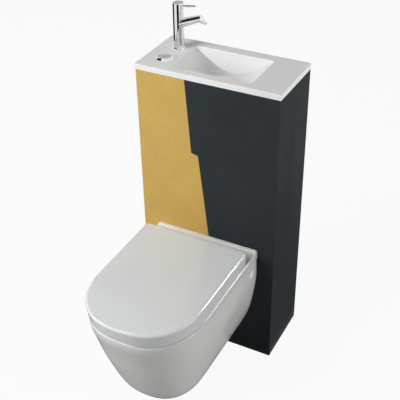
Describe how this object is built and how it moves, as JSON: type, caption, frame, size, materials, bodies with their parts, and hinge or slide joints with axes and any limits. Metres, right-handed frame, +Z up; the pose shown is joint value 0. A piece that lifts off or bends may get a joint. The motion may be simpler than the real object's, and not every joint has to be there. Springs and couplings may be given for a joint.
{
  "type": "combined toilet and basin unit",
  "caption": "Slim wall-side cabinet carrying a wall-hung toilet with hinged seat and lid, topped by a hand basin with a single-lever tap and a split flush button.",
  "frame": {"origin": "on the floor, under the middle of the whole unit's width and depth", "axes": "+Z up, +X to the right seen from the front, +Y towards the wall behind, so the toilet points to -Y"},
  "size_m": [0.465, 0.7601, 1.1277],
  "materials": {
    "bare_board": "sanded, clear sealed",
    "dark_facing": "satin laminate",
    "zinc_steel": "zinc plated",
    "frame_paint": "powder coated",
    "glazed_white": "glossy glaze",
    "seat_white": "moulded gloss",
    "basin_white": "glossy glaze",
    "chrome": "polished",
    "brass": "nickel-free bare brass",
    "rubber": "matte",
    "tank_plastic": "moulded",
    "valve_plastic": "moulded",
    "pipe_white": "extruded",
    "pipe_dark": "extruded",
    "knob_plastic": "moulded"
  },
  "bodies": {
    "unit": {"front_board": "bare_board", "side_board_left": "bare_board", "side_board_right": "bare_board", "decor_facing": "dark_facing", "corner_brackets": "zinc_steel", "bracket_screws": "zinc_steel", "support_frame": "frame_paint", "frame_feet": "zinc_steel", "wall_brackets": "zinc_steel", "frame_screws": "zinc_steel", "toilet_bowl": "glazed_white", "toilet_well": "glazed_white", "toilet_sump": "glazed_white", "toilet_trap": "glazed_white", "mounting_studs": "zinc_steel", "stud_nuts": "zinc_steel", "fixing_blocks": "valve_plastic", "side_screws": "zinc_steel", "side_caps": "seat_white", "hinge_posts": "chrome", "hinge_pins": "chrome", "hinge_nuts": "valve_plastic", "cistern_tank": "tank_plastic", "cistern_lid": "tank_plastic", "tank_nuts": "valve_plastic", "fill_valve": "valve_plastic", "stop_valve": "brass", "flush_valve_body": "valve_plastic", "flush_actuator": "valve_plastic", "flush_pipe": "pipe_white", "rubber_seals": "rubber", "waste_connector": "pipe_dark", "waste_bend": "pipe_dark", "waste_clamp": "zinc_steel", "basin": "basin_white", "drain_strainer": "chrome", "deck_nuts": "valve_plastic", "drain_tail": "pipe_white", "tap_body": "chrome", "tap_base": "chrome", "tap_spout": "chrome", "tap_aerator": "chrome", "tap_nut": "brass", "button_bezel": "chrome", "button_housing": "valve_plastic", "bellows_full": "rubber", "bellows_eco": "rubber"},
    "seat": {"toilet_seat": "seat_white", "seat_bumpers": "rubber"},
    "lid": {"toilet_lid": "seat_white"},
    "full_button": {"button_full": "chrome"},
    "eco_button": {"button_eco": "chrome"},
    "flush_lift": {"flush_lifter": "valve_plastic", "flush_seal": "rubber"},
    "float": {"cistern_float": "valve_plastic"},
    "stop_knob": {"stop_valve_knob": "knob_plastic"},
    "tap_swivel": {"tap_spindle": "brass", "tap_tilt_pin": "zinc_steel"},
    "tap_handle": {"tap_handle": "chrome", "tap_lever": "chrome"}
  },
  "joints": [
    {"name": "seat_hinge", "type": "hinge", "parent": "unit", "child": "seat", "pos_m": [0, 0.07525, 0.442], "axis": [-1, 0, 0], "range_deg": [0, 93]},
    {"name": "lid_hinge", "type": "hinge", "parent": "seat", "child": "lid", "pos_m": [0, 0.07525, 0.442], "axis": [1, 0, 0], "range_deg": [-93, 0]},
    {"name": "full_press", "type": "slide", "parent": "unit", "child": "full_button", "axis": [0, 0, -1], "range_m": [0, 0.006], "stiffness_N_per_m": 600, "deforming": ["bellows_full"]},
    {"name": "eco_press", "type": "slide", "parent": "unit", "child": "eco_button", "axis": [0, 0, -1], "range_m": [0, 0.006], "stiffness_N_per_m": 600, "deforming": ["bellows_eco"]},
    {"name": "flush_lift", "type": "slide", "parent": "unit", "child": "flush_lift", "axis": [0, 0, 1], "range_m": [0, 0.015]},
    {"name": "float_rise", "type": "slide", "parent": "unit", "child": "float", "axis": [0, 0, 1], "range_m": [0, 0.11]},
    {"name": "stop_turn", "type": "hinge", "parent": "unit", "child": "stop_knob", "pos_m": [0.115, 0.28975, 0.47], "axis": [0, 1, 0], "range_deg": [0, 90]},
    {"name": "tap_swivel", "type": "hinge", "parent": "unit", "child": "tap_swivel", "pos_m": [-0.166, 0.31125, 1.113], "axis": [0, 0, 1], "range_deg": [-45, 45]},
    {"name": "tap_lift", "type": "hinge", "parent": "tap_swivel", "child": "tap_handle", "pos_m": [-0.166, 0.31125, 1.113], "axis": [0, -1, 0], "range_deg": [0, 20]}
  ],
  "couplings": [
    {"joint": "flush_lift", "follows": "full_press", "ratio": 2.5}
  ]
}
